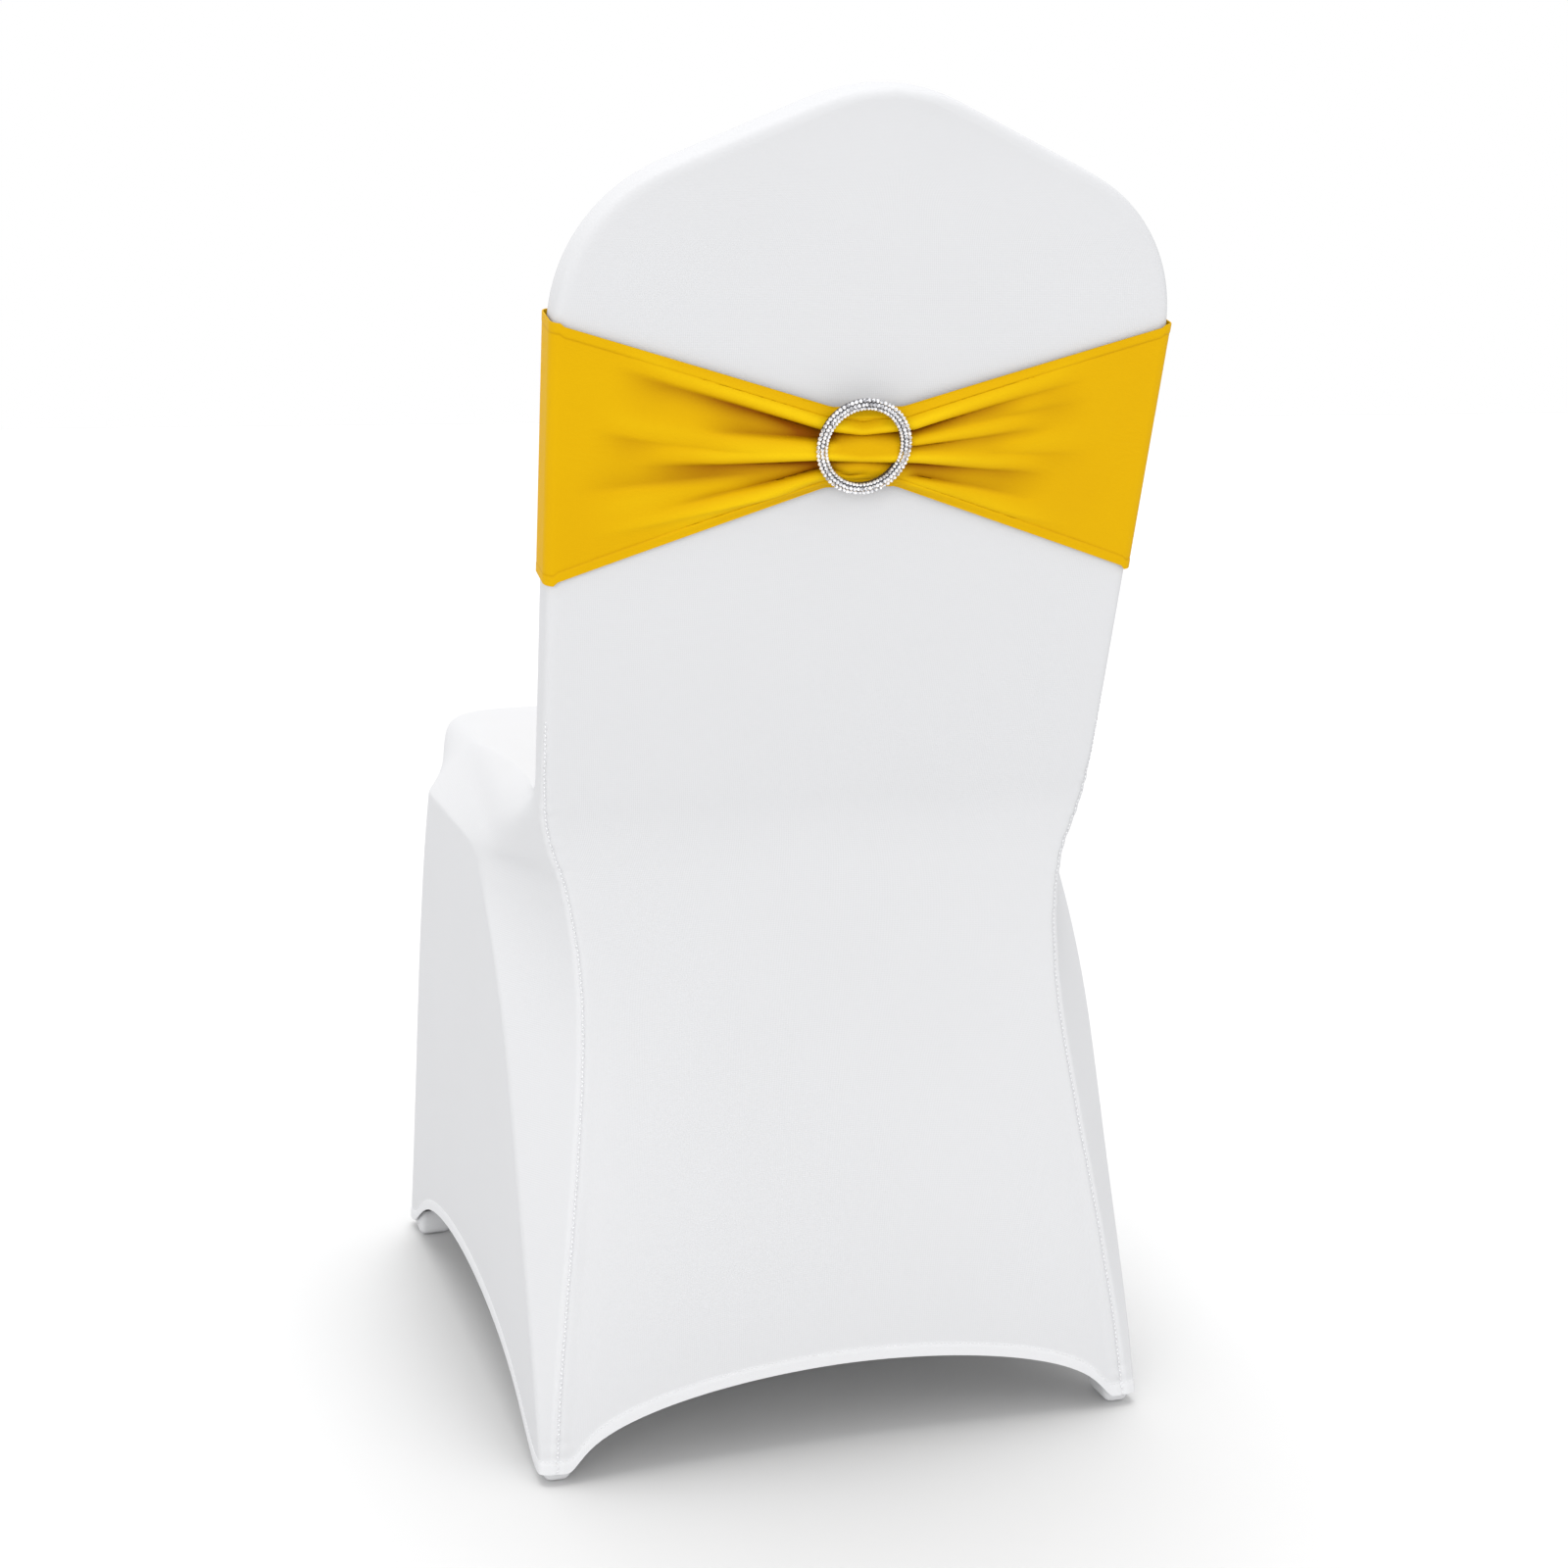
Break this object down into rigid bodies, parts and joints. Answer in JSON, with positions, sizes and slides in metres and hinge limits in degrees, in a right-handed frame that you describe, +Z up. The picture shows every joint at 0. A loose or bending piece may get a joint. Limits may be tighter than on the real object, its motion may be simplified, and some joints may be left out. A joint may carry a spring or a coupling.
{
  "type": "chair cover with sash",
  "caption": "Fitted white stretch cover for a crown-back banquet chair, with a yellow sash band gathered through a ring set with stones at the rear.",
  "frame": {"origin": "on the floor, below the middle of the cover's bounding box", "axes": "+Z up, -Y is the way that someone on the chair faces, +X is that person's left"},
  "size_m": [0.4626, 0.627, 0.9241],
  "materials": {
    "cover_cloth": "matte fine knit",
    "pocket_cloth": "matte fine knit",
    "sash_cloth": "satin knit",
    "ring_metal": "polished, set with clear stones"
  },
  "bodies": {
    "root": {"front_panel": "cover_cloth", "back_panel": "cover_cloth", "side_panel_left": "cover_cloth", "side_panel_right": "cover_cloth", "foot_pocket_front_left": "pocket_cloth", "foot_pocket_front_right": "pocket_cloth", "foot_pocket_rear_left": "pocket_cloth", "foot_pocket_rear_right": "pocket_cloth", "sash_band": "sash_cloth", "sash_ring": "ring_metal"}
  },
  "joints": []
}
